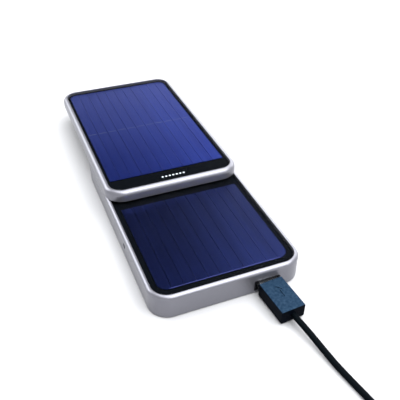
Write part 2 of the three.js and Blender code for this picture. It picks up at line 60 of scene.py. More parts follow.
scene = bpy.context.scene
scene.view_settings.view_transform = "Standard"

MM = 0.001
WIDTH, LENGTH, TRAVEL = 72, 120.5, 69.2
HALF_W, HALF_L = WIDTH / 2, LENGTH / 2
CORNER_R = 9.5
LOWER_Y, UPPER_Y = -TRAVEL / 2, TRAVEL / 2  # middles of the two bodies
LOWER_FRONT = LOWER_Y - HALF_L
LOWER_TOP, UPPER_BOTTOM, UPPER_TOP = 12.3, 12.65, 18.55
SOCKET_X, SOCKET_Z = 17.05, 4.12
JACK_Y, JACK_Z = -51.1, 7.2

# Each panel from its board up to its window; the cells are lengthwise strips
LOWER_BACKING_Z, LOWER_CELL_Z, LOWER_GLASS_Z = (10.25, 10.9), (10.95, 11.2), (11.35, 12.25)
UPPER_BACKING_Z, UPPER_CELL_Z, UPPER_GLASS_Z = (16.35, 17.0), (17.05, 17.3), (17.6, 18.5)
STRIPS, STRIP_GAP = 11, 0.14
LOWER_CELL_HALF, UPPER_CELL_HALF = 31, 31.5
LOWER_CELL_Y, UPPER_CELL_Y = (-88.8, -29.3), (-12, 90)


# ---------------------------------------------------------------- spans
def around(centre, half):
    """Span of a half width each side of a centre."""
    return (centre - half, centre + half)


def grown(span, by):
    """Span made longer at both ends, or shorter where by is negative."""
    return (span[0] - by, span[1] + by)


def middle(span):
    """Centre of a span."""
    return (span[0] + span[1]) / 2


def node_spans(node):
    """Spans of a CAD node's box along X, Y and Z."""
    low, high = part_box(node)
    return [(a / MM, b / MM) for a, b in zip(low, high)]


# ---------------------------------------------------------------- camera
CAMERA_AT = (-78.45, -247.5, 184.86)
CAMERA_TURNS = (22.372, 37.188, 0.5286)  # degrees: yaw from +Y towards +X, pitch downwards, roll
CAMERA_LENS, CAMERA_SENSOR = 50.69, 36


def make_camera():
    """The view that the looks are made for."""
    yaw, pitch, roll = (math.radians(a) for a in CAMERA_TURNS)
    level = math.cos(pitch)
    forward = Vector((math.sin(yaw) * level, math.cos(yaw) * level, -math.sin(pitch)))
    right = Vector((math.cos(yaw), -math.sin(yaw), 0))
    up = right.cross(forward)
    x_axis = right * math.cos(roll) + up * math.sin(roll)
    y_axis = up * math.cos(roll) - right * math.sin(roll)
    data = bpy.data.cameras.new("camera")
    data.sensor_width = CAMERA_SENSOR
    data.lens = CAMERA_LENS
    data.clip_start = 10 * MM
    camera = bpy.data.objects.new("camera", data)
    turn = Matrix((x_axis, y_axis, -forward)).transposed().to_4x4()
    camera.matrix_world = Matrix.Translation(Vector(CAMERA_AT) * MM) @ turn
    scene.collection.objects.link(camera)
    scene.camera = camera


make_camera()


# ---------------------------------------------------------------- cord
CORD_D = 2.7
ROUTE = [
    (18.88, -115.13, 4.12),
    (19.3, -119, 4.08),
    (20.05, -123.5, 3.75),
    (20.95, -129, 3.1),
    (21.9, -135, 2.3),
    (23, -142, 1.6),
    (24.3, -149.5, 1.36),
    (25.7, -157.5, 1.36),
    (27, -165.5, 1.36),
    (28.1, -172.8, 1.36),
]
TAIL = [
    (26.4, -188.8, 4.2),
    (25.72, -195.2, 2.6),
    (25.2, -199.5, 1.7),
    (23.4, -203.8, 1.4),
    (20.2, -207.6, 1.4),
    (15.8, -210.3, 1.9),
    (11, -211.6, 3),
    (6.8, -211.9, 3.85),
    (3.0, -211.9, 3.97),
]
COIL_CENTRE = Vector((7.45, -182, 0))
COIL_OUTER_R, COIL_PITCH = 19.55, 2.72
COIL_LOW_Z, COIL_RISE = 1.65, 2.74  # the lower layer's middle, and the upper layer's height above it
TURNS_IN, TURNS_IN_ALL = 3, 6
JOG = (120, 240)  # the degrees of each turn in which the cord moves over by one pitch
COIL_STEP = 15  # degrees


def ease(value, start, end):
    """0 up to the start, 1 from the end on, and smooth between them."""
    t = min(max((value - start) / (end - start), 0), 1)
    return t * t * (3 - 2 * t)


def spline(points, per_span):
    """Points of a Catmull-Rom curve through the given points."""
    ends = [2 * points[0] - points[1], *points, 2 * points[-1] - points[-2]]
    out = []
    for a, b, c, d in zip(ends, ends[1:], ends[2:], ends[3:]):
        square = 2 * a - 5 * b + 4 * c - d
        cube = 3 * b - a - 3 * c + d
        for k in range(per_span):
            t = k / per_span
            out.append(0.5 * (2 * b + (c - a) * t + square * t**2 + cube * t**3))
    return [*out, points[-1]]


def coil_points():
    """Inwards on the table, then back outwards on top of those turns, clockwise seen from above."""
    points = []
    inner_r = COIL_OUTER_R - TURNS_IN * COIL_PITCH
    climb = (TURNS_IN * 360, TURNS_IN * 360 + JOG[0])
    for phase in range(0, TURNS_IN_ALL * 360 + 1, COIL_STEP):
        turn, rest = divmod(phase, 360)
        lane = turn + ease(rest, *JOG)
        if phase <= climb[1]:
            radius = COIL_OUTER_R - COIL_PITCH * lane
        else:
            radius = inner_r + COIL_PITCH * (lane - TURNS_IN)
        z = COIL_LOW_Z + COIL_RISE * ease(phase, *climb)
        angle = -math.radians(phase)
        points.append(COIL_CENTRE + Vector((radius * math.cos(angle), radius * math.sin(angle), z)))
    return points


def make_cord():
    """The cord as one round curve, and its length in metres."""
    knots = [Vector(p) for p in ROUTE] + coil_points() + [Vector(p) for p in TAIL]
    points = spline(knots, 3)
    curve = bpy.data.curves.new("cord", "CURVE")
    curve.dimensions = "3D"
    curve.bevel_depth = CORD_D / 2 * MM
    curve.bevel_resolution = 5
    curve.use_fill_caps = True
    line = curve.splines.new("POLY")
    line.points.add(len(points) - 1)
    for target, p in zip(line.points, points):
        target.co = (*(p * MM), 1)
    line.use_smooth = True
    obj = bpy.data.objects.new("cord", curve)
    scene.collection.objects.link(obj)
    length = sum((b - a).length for a, b in zip(points, points[1:]))
    return obj, length * MM


cord, cord_length = make_cord()


# ---------------------------------------------------------------- node trees
class Nodes:
    """A short way to write the node tree of a material or a world."""

    def __init__(self, owner):
        owner.use_nodes = True
        self.owner = owner
        self.tree = owner.node_tree
        self.tree.nodes.clear()

    def add(self, kind, settings=None, **inputs):
        """Adds a node. An input goes by its name, or by its place as _0, _1 and so on."""
        node = self.tree.nodes.new(kind)
        for key, value in (settings or {}).items():
            setattr(node, key, value)
        for key, value in inputs.items():
            self.feed(node.inputs[int(key[1:]) if key[0] == "_" else key.replace("_", " ")], value)
        return node

    def feed(self, socket, value):
        """Links a socket to another, or sets its value."""
        if isinstance(value, bpy.types.NodeSocket):
            self.tree.links.new(value, socket)
        elif socket.type == "RGBA" and len(value) == 3:
            socket.default_value = (*value, 1)
        else:
            socket.default_value = value

    def math(self, operation, a, b=0.0):
        return self.add("ShaderNodeMath", {"operation": operation}, _0=a, _1=b).outputs[0]

    def span(self, value, low, high, start=0.0, end=1.0):
        """Low where the value is at the start, high where it is at the end."""
        return self.add("ShaderNodeMapRange", _0=value, _1=start, _2=end, _3=low, _4=high).outputs[0]


class MaterialNodes(Nodes):
    """Nodes for one new material, placed by the object's own coordinates in metres."""

    def __init__(self, name):
        super().__init__(bpy.data.materials.new(name))
        self.output = self.tree.nodes.new("ShaderNodeOutputMaterial")
        self.where = self.tree.nodes.new("ShaderNodeTexCoord").outputs["Object"]

    def noise(self, scale, detail=2.0, roughness=0.5, stretch=(1, 1, 1)):
        where = self.add("ShaderNodeMapping", _3=stretch, _0=self.where).outputs[0]
        return self.add(
            "ShaderNodeTexNoise", Vector=where, Scale=scale, Detail=detail, Roughness=roughness
        ).outputs["Fac"]

    def mix(self, factor, a, b):
        """Mixes two colours; places 6, 7 and 2 are the node's colour sockets."""
        return self.add("ShaderNodeMix", {"data_type": "RGBA"}, _0=factor, _6=a, _7=b).outputs[2]

    def bump(self, height, distance):
        """Normal for a relief that is distance millimetres deep."""
        return self.add("ShaderNodeBump", Height=height, Distance=distance * MM, Strength=1.0).outputs[0]

    def principled(self, **inputs):
        """Ends the tree with a Principled shader, and gives the material."""
        node = self.add("ShaderNodeBsdfPrincipled", **inputs)
        self.tree.links.new(node.outputs[0], self.output.inputs[0])
        return self.owner

    def position(self):
        """X, Y and Z in metres."""
        return self.add("ShaderNodeSeparateXYZ", _0=self.where).outputs


# ---------------------------------------------------------------- materials
def dim(colour, share):
    """A colour made darker, or brighter where the share is over 1."""
    return tuple(c * share for c in colour)


def plain_material(name, colour, roughness, grain=900.0, shade=0.12, bump=0.01, gloss=0.5):
    """Moulded material: fine grain, broad unevenness and a little relief."""
    uneven = 0.08
    n = MaterialNodes(name)
    fine = n.noise(grain, 3.0, 0.6)
    broad = n.noise(45.0)
    tone = n.mix(broad, dim(colour, 1 - shade), dim(colour, 1 + shade))
    tone = n.mix(n.span(fine, 0.0, 0.5, 0.35, 0.75), tone, dim(colour, 1 - shade / 2))
    rough = n.math(
        "ADD", n.span(broad, roughness - uneven, roughness + uneven), n.span(fine, -0.02, 0.02)
    )
    return n.principled(
        Base_Color=tone, Roughness=rough, Specular_IOR_Level=gloss, Normal=n.bump(fine, bump)
    )


def casing_material():
    """Satin silver with faint hand marks and a very fine orange peel."""
    n = MaterialNodes("polished_silver")
    smudge = n.noise(28.0, 4.0, 0.6)
    hair = n.noise(260.0, stretch=(1, 0.05, 1))
    peel = n.noise(420.0, 1.0, 0.4)
    tone = n.mix(smudge, (0.17, 0.17, 0.193), (0.195, 0.195, 0.22))
    rough = n.math("ADD", n.span(smudge, 0.29, 0.34, 0.3, 0.75), n.span(hair, 0.0, 0.03, 0.5, 0.8))
    return n.principled(Base_Color=tone, Metallic=0.72, Roughness=rough, Normal=n.bump(peel, 0.0012))


def glass_material():
    """Thin clear window: what it mirrors by angle over what shows through it."""
    coating = 0.07  # share of a bare glass face's mirroring that the coating leaves
    n = MaterialNodes("window_glass")
    smudge = n.noise(35.0, 3.0, 0.6)
    mirror = n.add(
        "ShaderNodeBsdfGlossy", Color=(1, 1, 1), Roughness=n.span(smudge, 0.05, 0.1, 0.4, 0.8)
    )
    clear = n.add("ShaderNodeBsdfTransparent", Color=(0.96, 0.97, 0.98))
    outside = n.math("SUBTRACT", 1.0, n.add("ShaderNodeNewGeometry").outputs["Backfacing"])
    share = n.math("MULTIPLY", n.add("ShaderNodeFresnel", IOR=1.5).outputs[0], coating)
    share = n.math("MULTIPLY", share, outside)
    mix = n.add("ShaderNodeMixShader", _0=share, _1=clear.outputs[0], _2=mirror.outputs[0])
    n.tree.links.new(mix.outputs[0], n.output.inputs[0])
    return n.owner


def cell_material(name, deep, bright, half_x):
    """Coated silicon: blue that differs a little from strip to strip, with fine lines along it."""
    strip_pitch, line_pitch = 2 * half_x / STRIPS * MM, 1.0 * MM
    n = MaterialNodes(name)
    x = n.position()[0]
    strip = n.math("FLOOR", n.math("DIVIDE", x, strip_pitch))
    per_strip = n.add("ShaderNodeTexWhiteNoise", {"noise_dimensions": "1D"}, W=strip).outputs["Value"]
    cloud = n.noise(26.0)
    streak = n.noise(900.0, stretch=(1, 0.012, 1))
    grain = n.noise(1500.0, 1.0)
    share = n.math("ADD", n.math("MULTIPLY", per_strip, 0.45), n.math("MULTIPLY", cloud, 0.55))
    tone = n.mix(share, deep, bright)
    tone = n.mix(n.span(streak, 0.0, 0.4, 0.55, 0.8), tone, dim(bright, 1.3))
    tone = n.mix(n.span(grain, 0.0, 0.35, 0.45, 0.75), tone, dim(deep, 0.7))
    lines = n.math("PINGPONG", n.math("DIVIDE", x, line_pitch), 0.5)
    tone = n.mix(n.span(lines, 0.22, 0.0, 0.0, 0.12), tone, dim(deep, 0.6))
    return n.principled(
        Base_Color=tone, Metallic=1.0, Roughness=n.span(cloud, 0.27, 0.31), Normal=n.bump(streak, 0.0015)
    )


def board_material():
    """Green solder mask over square-cornered copper areas and a fine weave."""
    n = MaterialNodes("circuit_board")
    cells = n.add(
        "ShaderNodeTexVoronoi", {"distance": "CHEBYCHEV", "feature": "F1"}, Vector=n.where, Scale=260.0
    ).outputs["Distance"]
    weave = n.noise(1800.0)
    trace = n.span(cells, 0.0, 1.0, 0.36, 0.42)
    tone = n.mix(trace, (0.012, 0.105, 0.045), (0.025, 0.19, 0.075))
    tone = n.mix(n.span(weave, 0, 0.3, 0.4, 0.7), tone, (0.01, 0.07, 0.03))
    height = n.math("ADD", trace, n.math("MULTIPLY", weave, 0.2))
    return n.principled(Base_Color=tone, Roughness=n.span(trace, 0.42, 0.3), Normal=n.bump(height, 0.02))


def brushed_material(name, colour, roughness, along):
    """Rolled or stamped metal with marks along one axis: 0, 1 or 2."""
    n = MaterialNodes(name)
    stretch = tuple(0.03 if axis == along else 1.0 for axis in range(3))
    marks = n.noise(1500.0, 3.0, 0.6, stretch)
    stain = n.noise(60.0, 3.0, 0.6)
    tone = n.mix(stain, dim(colour, 0.85), dim(colour, 1.08))
    rough = n.math("ADD", n.span(marks, roughness - 0.08, roughness + 0.1), n.span(stain, -0.04, 0.04))
    return n.principled(Base_Color=tone, Metallic=1.0, Roughness=rough, Normal=n.bump(marks, 0.004))


def slate_material():
    """Moulded plug, scuffed: its upward faces are painted lighter as a painted highlight, its sides
    near-black as painted shade.
    """
    n = MaterialNodes("slate_plastic")
    # Painted light mask: how far each face points up, from its normal
    normal = n.add("ShaderNodeTexCoord").outputs["Normal"]
    top_light_mask = n.add("ShaderNodeSeparateXYZ", _0=normal).outputs[2]
    fine = n.noise(1500.0, 3.0, 0.6)
    scuff = n.noise(800.0, 4.0, 0.65)
    # Painted highlight: lighter slate on the upward faces; painted shade: near-black on the sides and
    # rounded edges
    top = n.mix(n.span(scuff, 0.0, 1.0, 0.35, 0.7), (0.006, 0.017, 0.035), (0.018, 0.037, 0.064))
    side = n.mix(fine, (0.0005, 0.001, 0.002), (0.002, 0.003, 0.006))
    return n.principled(
        Base_Color=n.mix(n.span(top_light_mask, 0.0, 1.0, 0.45, 0.85), side, top),
        Roughness=n.span(scuff, 0.34, 0.48),
        Specular_IOR_Level=0.01,
        Normal=n.bump(n.math("ADD", fine, scuff), 0.02),
    )


def foil_material():
    """Pouch foil: crinkled a little, satin silver."""
    n = MaterialNodes("pouch_foil")
    crinkle = n.noise(140.0, 4.0, 0.6)
    tone = n.mix(crinkle, (0.55, 0.57, 0.6), (0.72, 0.73, 0.76))
    return n.principled(
        Base_Color=tone, Metallic=0.85, Roughness=n.span(crinkle, 0.3, 0.45), Normal=n.bump(crinkle, 0.12)
    )


def strap_material():
    """Black webbing with a thread every half millimetre."""
    n = MaterialNodes("woven_strap")
    x, y, _ = n.position()
    per_metre = 2 * math.pi / (0.5 * MM)
    across = n.math("SINE", n.math("MULTIPLY", x, per_metre))
    along = n.math("SINE", n.math("MULTIPLY", y, per_metre))
    weave = n.math("MULTIPLY", across, along)
    tone = n.mix(n.span(weave, 0, 1, -1, 1), (0.008, 0.008, 0.009), (0.03, 0.03, 0.033))
    return n.principled(Base_Color=tone, Roughness=0.85, Specular_IOR_Level=0.1, Normal=n.bump(weave, 0.03))


def floor_material():
    """Matt pale grey, a little uneven."""
    n = MaterialNodes("pale_floor")
    tone = n.mix(n.noise(6.0, 3.0), (0.4, 0.4, 0.405), (0.42, 0.42, 0.425))
    return n.principled(Base_Color=tone, Roughness=0.9, Specular_IOR_Level=0.1)


SILVER = casing_material()
GLASS = glass_material()
# Painted shade: the lower cells get a far darker blue than the upper cells, for the darkness their angle to
# the light gives them
LOWER_CELL = cell_material(
    "lower_cell_silicon", (0.0085, 0.0135, 0.066), (0.0145, 0.023, 0.108), LOWER_CELL_HALF
)
UPPER_CELL = cell_material(
    "upper_cell_silicon", (0.008, 0.024, 0.235), (0.013, 0.038, 0.31), UPPER_CELL_HALF
)
RIBBON = brushed_material("tinned_ribbon", (0.14, 0.17, 0.34), 0.4, 0)
# Painted highlight: bright blue metal for the strip along the lower cells' front edge
EDGE_HIGHLIGHT = brushed_material("tinned_bus", (0.08, 0.09, 0.3), 0.4, 0)
PANEL_BLACK = plain_material("panel_black", (0.0025, 0.003, 0.004), 0.6, grain=600, bump=0.002, gloss=0.0)
PRINT = plain_material("pale_print", (0.78, 0.8, 0.84), 0.5, shade=0.05, bump=0.001)
BLACK = plain_material("black_plastic", (0.006, 0.006, 0.008), 0.5, grain=1400, bump=0.02, gloss=0.1)
BLACK_GLOSS = plain_material("black_component", (0.014, 0.014, 0.016), 0.32, grain=2000)
IVORY = plain_material("ivory_plastic", (0.72, 0.69, 0.6), 0.42, shade=0.05)
RUBBER = plain_material("foot_rubber", (0.016, 0.016, 0.017), 0.8, grain=1700, bump=0.03)
FERRITE = plain_material("ferrite", (0.03, 0.03, 0.033), 0.65, grain=1600, bump=0.04)
SLATE = slate_material()
JACKET = plain_material(
    "cord_jacket", (0.001, 0.002, 0.003), 0.5, grain=1100, shade=0.2, bump=0.015, gloss=0.02
)
STRAP = strap_material()
STEEL_Y = brushed_material("rolled_steel", (0.58, 0.59, 0.61), 0.3, 1)
STEEL = brushed_material("zinc_steel", (0.6, 0.61, 0.63), 0.28, 2)
NICKEL = brushed_material("bright_nickel", (0.5, 0.53, 0.56), 0.25, 1)
BRASS = brushed_material("gold_flash", (0.78, 0.56, 0.24), 0.25, 1)
FOIL = foil_material()
BOARD = board_material()


# ---------------------------------------------------------------- mesh helpers
def add_mesh(name, verts, faces, material):
    """An object from points in millimetres."""
    mesh = bpy.data.meshes.new(name)
    mesh.from_pydata([tuple(c * MM for c in v) for v in verts], [], faces)
    obj = bpy.data.objects.new(name, mesh)
    scene.collection.objects.link(obj)
    mesh.materials.append(material)
    return obj


def tidy(obj, angle=30, weighted=True):
    """Consistent outward faces, smooth shading with sharp edges kept, flat faces kept flat."""
    bm = bmesh.new()
    bm.from_mesh(obj.data)
    bmesh.ops.remove_doubles(bm, verts=bm.verts, dist=1e-7)
    bmesh.ops.recalc_face_normals(bm, faces=bm.faces)
    bm.to_mesh(obj.data)
    bm.free()
    obj.data.shade_smooth()
    obj.data.set_sharp_from_angle(angle=math.radians(angle))
    if weighted:
        modifier = obj.modifiers.new("flat_faces", "WEIGHTED_NORMAL")
        modifier.keep_sharp = True
        modifier.weight = 80
    return obj


def place(obj, body, slot, *replaced):
    """Gives a piece its body and hides the CAD nodes that it stands for. The slot is not used."""
    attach(obj, body)
    if replaced:
        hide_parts(*replaced)
    return obj


def applied(obj):
    """Turns the object's modifiers into its mesh."""
    graph = bpy.context.evaluated_depsgraph_get()
    mesh = bpy.data.meshes.new_from_object(obj.evaluated_get(graph))
    obj.modifiers.clear()
    obj.data = mesh
    return obj


def outward(obj):
    """Turns every face outwards, as the cuts need."""
    bm = bmesh.new()
    bm.from_mesh(obj.data)
    bmesh.ops.recalc_face_normals(bm, faces=bm.faces)
    bm.to_mesh(obj.data)
    bm.free()


def cut(obj, cutters):
    """Takes the cutters away from the object, and then removes them."""
    for solid in (obj, *cutters):
        outward(solid)
    for cutter in cutters:
        modifier = obj.modifiers.new("cut", "BOOLEAN")
        modifier.operation = "DIFFERENCE"
        modifier.solver = "EXACT"
        modifier.object = cutter
    applied(obj)
    for cutter in cutters:
        bpy.data.objects.remove(cutter)
    return obj


def bevelled(obj, width, segments, angle=35):
    """Bevels the edges that turn by more than the angle."""
    modifier = obj.modifiers.new("edges", "BEVEL")
    modifier.width = width * MM
    modifier.segments = segments
    modifier.limit_method = "ANGLE"
    modifier.angle_limit = math.radians(angle)
    modifier.use_clamp_overlap = True
    return applied(obj)


def joined(name, objects):
    """One object from several of one material."""
    bm = bmesh.new()
    for obj in objects:
        bm.from_mesh(obj.data)
    mesh = bpy.data.meshes.new(name)
    bm.to_mesh(mesh)
    bm.free()
    mesh.materials.append(objects[0].data.materials[0])
    for obj in objects:
        bpy.data.objects.remove(obj)
    result = bpy.data.objects.new(name, mesh)
    scene.collection.objects.link(result)
    return result


# ---------------------------------------------------------------- outlines
def arc(centre, radius, start, end, steps):
    """(u, v) points on an arc, angles in degrees."""
    out = []
    for i in range(steps + 1):
        a = math.radians(start + (end - start) * i / steps)
        out.append((centre[0] + radius * math.cos(a), centre[1] + radius * math.sin(a)))
    return out


def circle(centre, radius, corners):
    """(u, v) corners of a round outline."""
    turns = [2 * math.pi * i / corners for i in range(corners)]
    return [(centre[0] + radius * math.cos(t), centre[1] + radius * math.sin(t)) for t in turns]


def bar(x, y, half_x, half_y):
    """Corners of a narrow rectangle about (x, y)."""
    (left, right), (front, back) = around(x, half_x), around(y, half_y)
    return [(left, front), (right, front), (right, back), (left, back)]


def outline(half_x, half_y, radii, centre_y=0.0, steps=16):
    """Rounded rectangle, anticlockwise. radii: back right, back left, front left, front right."""
    points = []
    corners = [(1, 1), (-1, 1), (-1, -1), (1, -1)]
    for k, ((sx, sy), r) in enumerate(zip(corners, radii)):
        cx, cy = sx * (half_x - r), sy * (half_y - r) + centre_y
        count = steps if r > 0 else 0
        for i in range(count + 1):
            angle = (k + (i / steps if count else 0)) * math.pi / 2
            points.append((cx + r * math.cos(angle), cy + r * math.sin(angle)))
    return points


def casing_outline(inset, y, steps=20):
    """Plan of a body about y, inside its outer wall by the inset."""
    return outline(HALF_W - inset, HALF_L - inset, [CORNER_R - inset] * 4, y, steps)


def panel_outline(inset, y, back_round):
    """Plan of a sheet inside a casing, its front corners following the casing's."""
    front = CORNER_R - inset
    back = front if back_round else 0
    return outline(HALF_W - inset, (y[1] - y[0]) / 2, [back, back, front, front], middle(y))


# ---------------------------------------------------------------- solids
def loft(name, rings, material, closed=False):
    """Joins equal rings of points into a skin: capped at both ends, or closed on itself."""
    n = len(rings[0])
    verts = [v for ring in rings for v in ring]
    faces = []
    for k in range(len(rings) if closed else len(rings) - 1):
        low, high = k * n, (k + 1) % len(rings) * n
        for i in range(n):
            j = (i + 1) % n
            faces.append((low + i, low + j, high + j, high + i))
    if not closed:
        faces.append(tuple(reversed(range(n))))
        faces.append(tuple(range((len(rings) - 1) * n, len(rings) * n)))
    return add_mesh(name, verts, faces, material)


def prism(name, plan, z, material):
    """An outline in plan, raised between two heights."""
    return loft(name, [[(x, y, h) for x, y in plan] for h in z], material)


def block(name, x, y, z, material=None):
    """A plain block. One that only cuts needs no material."""
    verts = [(a, b, c) for c in z for b in y for a in x]
    faces = [(0, 2, 3, 1), (4, 5, 7, 6), (0, 1, 5, 4), (2, 6, 7, 3), (0, 4, 6, 2), (1, 3, 7, 5)]
    return add_mesh(name, verts, faces, material or BLACK)


def rounded_block(name, x, y, z, radius, axis, material=None, steps=6):
    """A block whose four edges along one axis are rounded."""
    spans = [x, y, z]
    a, b = [i for i in range(3) if i != axis]
    half = [(s[1] - s[0]) / 2 for s in spans]
    mid = [middle(s) for s in spans]
    rings = []
    for end in spans[axis]:
        ring = []
        for u, v in outline(half[a], half[b], [radius] * 4, 0.0, steps):
            p = [0.0, 0.0, 0.0]
            p[a], p[b], p[axis] = mid[a] + u, mid[b] + v, end
            ring.append(tuple(p))
        rings.append(ring)
    return loft(name, rings, material or BLACK)


def rod(name, radius, start, end, material=None, sides=32):
    """A cylinder between two points."""
    a, b = Vector(start), Vector(end)
    turn = (b - a).to_track_quat("Z", "Y")
    flat = circle((0, 0), radius, sides)
    rings = [[tuple(p + turn @ Vector((u, v, 0))) for u, v in flat] for p in (a, b)]
    return loft(name, rings, material or BLACK)


def turned(name, profile, where, material, sides=28, flip=False):
    """A solid turned about Z, upwards or, flipped, downwards; profile is (radius, height)."""
    x, y, z = where
    sign = -1 if flip else 1
    rings = [[(u, v, z + sign * h) for u, v in circle((x, y), r, sides)] for r, h in profile]
    return loft(name, rings, material)


def plate(name, plan, z, material, edge=0.12):
    """A flat sheet with small bevelled edges."""
    return tidy(bevelled(prism(name, plan, z, material), edge, 2, 50))


def refine(node, name, material, body, slot, width=0.15, segments=2):
    """A detailed copy of a CAD node: its facets merged, its edges bevelled."""
    mesh = nodes[node].data.copy()
    mesh.materials.clear()
    mesh.materials.append(material)
    obj = bpy.data.objects.new(name, mesh)
    scene.collection.objects.link(obj)
    bm = bmesh.new()
    bm.from_mesh(mesh)
    bmesh.ops.remove_doubles(bm, verts=bm.verts, dist=1e-6)
    bmesh.ops.dissolve_limit(bm, angle_limit=math.radians(1), verts=bm.verts, edges=bm.edges)
    bm.to_mesh(mesh)
    bm.free()
    bevelled(obj, width, segments, 32)
    return place(tidy(obj), body, slot, node)


# ---------------------------------------------------------------- casings
def ring_casing(name, profile, y):
    """A frame without top or bottom; profile is (inset from the outer wall, height)."""
    rings = [[(px, py, z) for px, py in casing_outline(inset, y)] for inset, z in profile]
    return loft(name, rings, SILVER, closed=True)


def rim(edge_r, top, steps):
    """Profile of a rounded top edge, from the outer wall to the edge of the window."""
    fillet = arc((edge_r, top - edge_r), edge_r, 180, 90, steps)
    return [*fillet[:-1], (edge_r - 0.05, top - 0.005), (edge_r, top - 0.06)]


def lower_casing():
    """The base's walls and rim, with the socket's opening in front and the jack's hole on the left."""
    edge_r, wall = 1.93, 2.0
    ledge, ledge_z = 3.6, 10.2  # the ledge that the panel's board lies on
    profile = [(0.5, 0.3), (0.2, 0.38), (0, 0.7), (0, 6), (0, LOWER_TOP - edge_r - 0.4)]
    profile += rim(edge_r, LOWER_TOP, 14)
    profile += [(edge_r, ledge_z), (ledge, ledge_z), (ledge, ledge_z - 1), (wall, 7.6), (wall, 0.4)]
    profile += [(wall - 0.1, 0.3)]
    obj = ring_casing("lower_casing", profile, LOWER_Y)
    opening = rounded_block(
        "opening", around(SOCKET_X, 6.3), (LOWER_FRONT - 2, LOWER_FRONT + 4), (1.25, 7.35), 0.7, 1
    )
    left, right = around(-HALF_W, 3)
    jack = rod("jack_hole", 1.45, (left, JACK_Y, JACK_Z), (right, JACK_Y, JACK_Z))
    cut(obj, [opening, jack])
    return place(tidy(obj, 28), "base", "silver_casing", "base_shell")


def upper_casing():
    """The upper body's walls and rim, and the plate under its panel."""
    edge_r, wall = 2.6, 2.0
    plate_z = (15.2, 16.3)
    profile = arc((0.45, UPPER_BOTTOM + 0.45), 0.45, 270, 180, 5)
    profile += [(0, UPPER_TOP - edge_r - 0.5), *rim(edge_r, UPPER_TOP, 16)]
    profile += [(edge_r, plate_z[1]), (6.0, plate_z[1]), (6.0, plate_z[0]), (wall, plate_z[0])]
    profile += [(wall, UPPER_BOTTOM + 0.08), (wall - 0.1, UPPER_BOTTOM)]
    obj = tidy(ring_casing("upper_casing", profile, UPPER_Y), 28)
    place(obj, "upper_panel", "silver_casing", "upper_shell")
    roof = prism("upper_roof_plate", casing_outline(6.1, UPPER_Y, 6), plate_z, SILVER)
    return place(tidy(roof), "upper_panel", "silver_casing")


lower_casing()
upper_casing()


# ---------------------------------------------------------------- panels
def cell_strips(name, half_x, y, z, radii, material, body, replaced):
    """Lengthwise strips with dark gaps between them; radii are the back and the front corners'."""
    pitch = 2 * half_x / STRIPS
    back, front = radii
    plan = outline(half_x, (y[1] - y[0]) / 2, [back, back, front, front], middle(y), 10)
    slab = prism(name, plan, z, material)
    grooves = [
        block("groove", around(i * pitch - half_x, STRIP_GAP / 2), grown(y, 1), grown(z, 1))
        for i in range(1, STRIPS)
    ]
    return place(tidy(cut(slab, grooves)), body, "cells", replaced)


def cell_ribbons():
    """Thin tinned ribbons that join the two halves of each upper strip."""
    pitch, z = 2 * UPPER_CELL_HALF / STRIPS, UPPER_CELL_Z[1] + 0.002
    pieces = []
    for i in range(STRIPS):
        x = (i + 0.5) * pitch - UPPER_CELL_HALF
        pieces.append(prism("ribbon", bar(x, 37.2, 2.3, 0.17), (z, z + 0.03), RIBBON))
    return tidy(joined("upper_cell_ribbons", pieces), weighted=False)


def cell_edge_highlight():
    """A thin bright blue metal strip along the lower cells' front edge: a painted highlight for the light
    that the cells' edge catches.
    """
    z = LOWER_CELL_Z[1] + 0.002
    return tidy(prism("lower_cell_edge_highlight", bar(0, -88.45, 26.5, 0.12), (z, z + 0.03), EDGE_HIGHLIGHT), weighted=False)


def level_dots():
    """A plain row of dots, printed on the black band under the upper window."""
    count, step, radius = 7, 1.95, 0.5
    z = UPPER_BACKING_Z[1] + 0.01
    pieces = []
    for k in range(count):
        x = 1.0 + (k - (count - 1) / 2) * step
        pieces.append(prism("dot", circle((x, -17.4), radius, 16), (z, z + 0.02), PRINT))
    return tidy(joined("level_dots", pieces), weighted=False)


def panels():
    """The window and the black board of each panel, then the cells and what lies on them."""
    inset, covered_end = 2.03, -20.0  # the lower panel ends under the upper body
    plan = panel_outline(inset, (LOWER_FRONT + inset, covered_end), False)
    place(plate("lower_glass", plan, LOWER_GLASS_Z, GLASS, 0.2), "base", "window", "base_window")
    board = plate("lower_backing", plan, LOWER_BACKING_Z, PANEL_BLACK)
    place(board, "base", "panel_board", "base_cell_board")

    inset = 2.7
    plan = panel_outline(inset, around(UPPER_Y, HALF_L - inset), True)
    place(plate("upper_glass", plan, UPPER_GLASS_Z, GLASS, 0.2), "upper_panel", "window", "upper_window")
    board = plate("upper_backing", plan, UPPER_BACKING_Z, PANEL_BLACK)
    place(board, "upper_panel", "panel_board", "upper_cell_board")

    cell_strips(
        "lower_cell_strips", LOWER_CELL_HALF, LOWER_CELL_Y, LOWER_CELL_Z, (0, 5), LOWER_CELL,
        "base", "base_cells",
    )
    cell_strips(
        "upper_cell_strips", UPPER_CELL_HALF, UPPER_CELL_Y, UPPER_CELL_Z, (4, 0), UPPER_CELL,
        "upper_panel", "upper_cells",
    )
    place(cell_ribbons(), "upper_panel", "plated_steel")
    place(cell_edge_highlight(), "base", "plated_steel")
    place(level_dots(), "upper_panel", "panel_board")


panels()


# ---------------------------------------------------------------- fasteners, feet and covers
# Head radius and height, shank radius, whole length, body, head upwards, head sunk in
SCREWS = {
    "case_screw": (2.0, 0.6, 0.95, 7, "base", False, False),
    "shoe_screw": (1.8, 0.55, 0.8, 2.9, "base", True, False),
    "rail_screw": (1.3, 0.45, 0.6, 1.4, "upper_panel", False, True),
}


